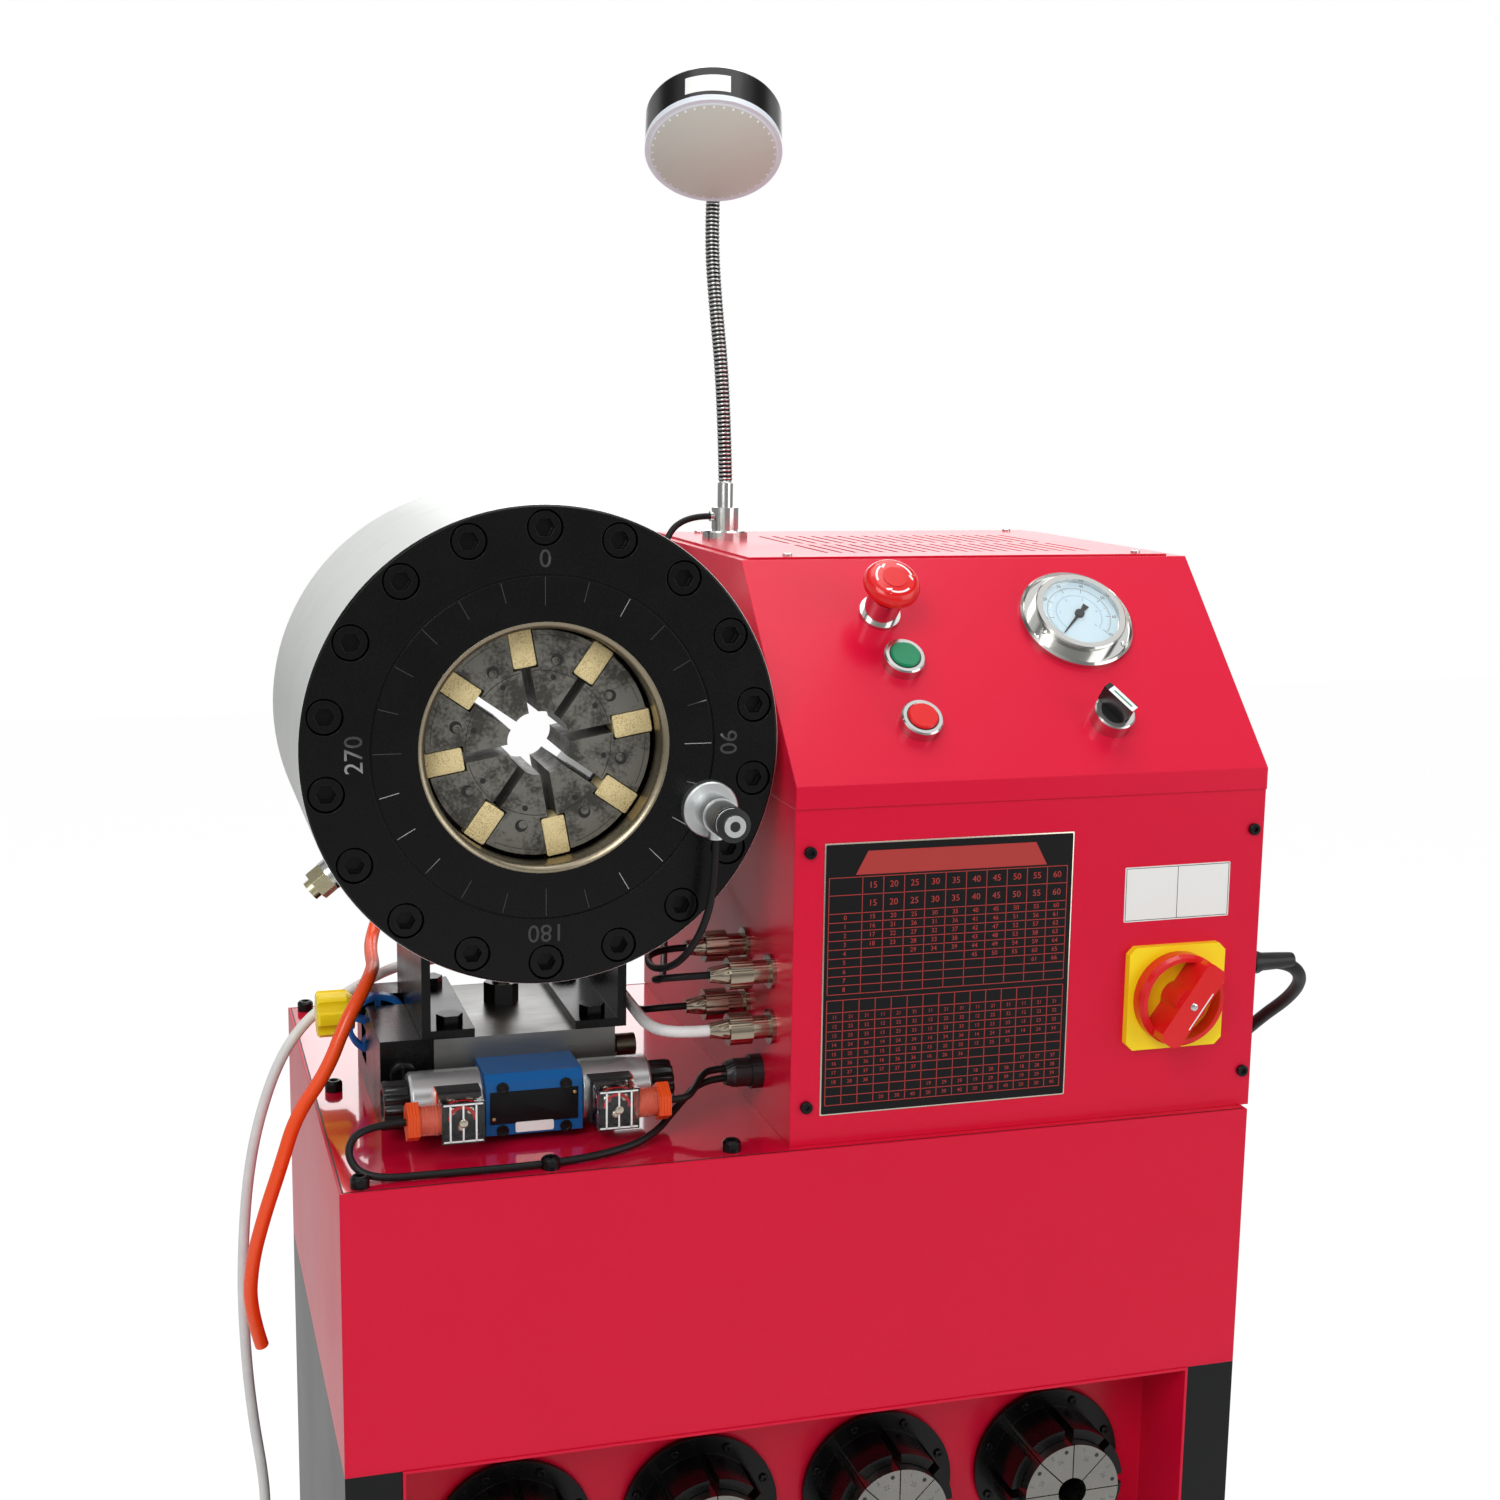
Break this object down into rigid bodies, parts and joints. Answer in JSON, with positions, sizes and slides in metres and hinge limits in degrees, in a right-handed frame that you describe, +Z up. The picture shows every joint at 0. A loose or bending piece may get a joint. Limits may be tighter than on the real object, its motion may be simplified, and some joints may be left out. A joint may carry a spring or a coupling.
{
  "type": "hose crimping machine",
  "caption": "Bench-height hose press: a round head of wedge jaws and a sloping console on a cabinet with a tray of spare dies, a work lamp and hydraulics.",
  "frame": {"origin": "on the floor, at the middle of the floor bolts", "axes": "+X to the right seen from the front, +Y to the back, +Z up"},
  "size_m": [0.797, 0.6513, 1.5371],
  "materials": {
    "crimson_paint": "powder coat with fine orange peel",
    "black_paint": "semi-gloss powder coat",
    "pale_paint": "satin white enamel",
    "black_steel": "blackened, satin",
    "ground_steel": "ground and oiled",
    "die_steel": "ground",
    "foam": "open-cell foam",
    "chrome": "polished",
    "black_plastic": "satin moulded",
    "clear_plastic": "clear moulded housing",
    "blue_paint": "semi-gloss paint",
    "yellow_plastic": "gloss moulded",
    "red_plastic": "gloss moulded",
    "green_plastic": "gloss moulded",
    "zinc_steel": "zinc plated",
    "black_rubber": "matt cable jacket",
    "white_rubber": "matt cable jacket",
    "orange_rubber": "matt hose"
  },
  "bodies": {
    "machine": {"stand_frame": "black_paint", "die_tray": "crimson_paint", "die_holders": "black_steel", "stored_dies": "die_steel", "oil_tank": "crimson_paint", "top_plate": "crimson_paint", "electrics_case": "crimson_paint", "front_panel": "crimson_paint", "console_cover": "crimson_paint", "vent_lid": "crimson_paint", "isolator_plate": "yellow_plastic", "control_bezels": "chrome", "gauge_case": "chrome", "manifold_block": "ground_steel", "head_brackets": "black_steel", "bracket_bolts": "black_steel", "valve_body": "blue_paint", "solenoid_coils": "ground_steel", "coil_nuts": "black_plastic", "din_plugs": "clear_plastic", "relief_block": "black_steel", "front_cap": "black_steel", "barrel": "ground_steel", "cap_screws": "black_steel", "foam_blocks": "foam", "micrometer_base": "chrome", "lamp_stem": "chrome", "connectors": "ground_steel", "hose_fittings": "zinc_steel", "probe_lead": "black_rubber", "lamp_lead": "black_rubber", "head_lead": "black_rubber", "white_cable": "white_rubber", "right_coil_lead": "black_rubber", "left_coil_lead": "black_rubber", "drain_hose": "orange_rubber", "power_lead": "black_rubber", "power_coil": "black_rubber", "power_plug": "black_plastic"},
    "piston": {"piston": "ground_steel"},
    "estop": {"estop_mushroom": "red_plastic"},
    "close_button": {"close_button": "green_plastic"},
    "open_button": {"open_button": "red_plastic"},
    "selector": {"selector_lever": "black_plastic"},
    "isolator": {"isolator_knob": "red_plastic"},
    "gauge_needle": {"gauge_pointer": "black_plastic"},
    "thimble": {"micrometer_thimble": "chrome"},
    "blue_wheel": {"blue_handwheel": "blue_paint"},
    "yellow_wheel": {"yellow_handwheel": "yellow_plastic"},
    "lamp_neck": {"gooseneck": "chrome"},
    "lamp": {"lamp_head": "pale_paint"},
    "jaw_1_carrier": {"jaw_1": "ground_steel"},
    "jaw_2_carrier": {"jaw_2": "ground_steel"},
    "jaw_3_carrier": {"jaw_3": "ground_steel"},
    "jaw_4_carrier": {"jaw_4": "ground_steel"},
    "jaw_5_carrier": {"jaw_5": "ground_steel"},
    "jaw_6_carrier": {"jaw_6": "ground_steel"},
    "jaw_7_carrier": {"jaw_7": "ground_steel"},
    "jaw_8_carrier": {"jaw_8": "ground_steel"}
  },
  "joints": [
    {"name": "piston_slide", "type": "slide", "parent": "machine", "child": "piston", "axis": [0, -1, 0], "range_m": [0, 0.032]},
    {"name": "jaw_1_slide", "type": "slide", "parent": "machine", "child": "jaw_1_carrier", "axis": [-0.2164, 0, -0.9763], "range_m": [0, 0.008], "deforming": ["foam_blocks"]},
    {"name": "jaw_2_slide", "type": "slide", "parent": "machine", "child": "jaw_2_carrier", "axis": [-0.8434, 0, -0.5373], "range_m": [0, 0.008]},
    {"name": "jaw_3_slide", "type": "slide", "parent": "machine", "child": "jaw_3_carrier", "axis": [-0.9763, 0, 0.2164], "range_m": [0, 0.008]},
    {"name": "jaw_4_slide", "type": "slide", "parent": "machine", "child": "jaw_4_carrier", "axis": [-0.5373, 0, 0.8434], "range_m": [0, 0.008]},
    {"name": "jaw_5_slide", "type": "slide", "parent": "machine", "child": "jaw_5_carrier", "axis": [0.2164, 0, 0.9763], "range_m": [0, 0.008]},
    {"name": "jaw_6_slide", "type": "slide", "parent": "machine", "child": "jaw_6_carrier", "axis": [0.8434, 0, 0.5373], "range_m": [0, 0.008]},
    {"name": "jaw_7_slide", "type": "slide", "parent": "machine", "child": "jaw_7_carrier", "axis": [0.9763, 0, -0.2164], "range_m": [0, 0.008]},
    {"name": "jaw_8_slide", "type": "slide", "parent": "machine", "child": "jaw_8_carrier", "axis": [0.5373, 0, -0.8434], "range_m": [0, 0.008]},
    {"name": "estop_press", "type": "slide", "parent": "machine", "child": "estop", "axis": [0, 0.7154, -0.6987], "range_m": [0, 0.005], "stiffness_N_per_m": 1500, "springref_m": -0.002},
    {"name": "close_press", "type": "slide", "parent": "machine", "child": "close_button", "axis": [0, 0.7154, -0.6987], "range_m": [0, 0.003], "stiffness_N_per_m": 600, "springref_m": -0.002},
    {"name": "open_press", "type": "slide", "parent": "machine", "child": "open_button", "axis": [0, 0.7154, -0.6987], "range_m": [0, 0.003], "stiffness_N_per_m": 600, "springref_m": -0.002},
    {"name": "selector_turn", "type": "hinge", "parent": "machine", "child": "selector", "pos_m": [0.2178, -0.16795, 1.07789], "axis": [0, -0.7154, 0.6987], "range_deg": [-64, 0]},
    {"name": "isolator_turn", "type": "hinge", "parent": "machine", "child": "isolator", "pos_m": [0.2603, -0.1977, 0.8865], "axis": [0, -1, 0], "range_deg": [-90, 0]},
    {"name": "gauge_needle_turn", "type": "hinge", "parent": "machine", "child": "gauge_needle", "pos_m": [0.2178, -0.10667, 1.14063], "axis": [0, -0.7154, 0.6987], "range_deg": [-270, 0]},
    {"name": "thimble_turn", "type": "hinge", "parent": "machine", "child": "thimble", "pos_m": [-0.074, -0.22, 1.031], "axis": [0, -1, 0], "continuous": true},
    {"name": "blue_wheel_turn", "type": "hinge", "parent": "machine", "child": "blue_wheel", "pos_m": [-0.271, 0, 0.846], "axis": [0, 1, 0], "continuous": true},
    {"name": "yellow_wheel_turn", "type": "hinge", "parent": "machine", "child": "yellow_wheel", "pos_m": [-0.3, 0.031, 0.846], "axis": [-1, 0, 0], "continuous": true},
    {"name": "lamp_swing", "type": "hinge", "parent": "machine", "child": "lamp_neck", "pos_m": [0.02, 0.1193, 1.23], "axis": [0, 0, 1], "range_deg": [-75, 75]},
    {"name": "lamp_nod", "type": "hinge", "parent": "lamp_neck", "child": "lamp", "pos_m": [0.0168, 0.1529, 1.4553], "axis": [0.9632, -0.2689, 0], "range_deg": [-15, 20]}
  ],
  "couplings": [
    {"joint": "jaw_1_slide", "follows": "piston_slide", "ratio": 0.25},
    {"joint": "jaw_2_slide", "follows": "piston_slide", "ratio": 0.25},
    {"joint": "jaw_3_slide", "follows": "piston_slide", "ratio": 0.25},
    {"joint": "jaw_4_slide", "follows": "piston_slide", "ratio": 0.25},
    {"joint": "jaw_5_slide", "follows": "piston_slide", "ratio": 0.25},
    {"joint": "jaw_6_slide", "follows": "piston_slide", "ratio": 0.25},
    {"joint": "jaw_7_slide", "follows": "piston_slide", "ratio": 0.25},
    {"joint": "jaw_8_slide", "follows": "piston_slide", "ratio": 0.25}
  ]
}
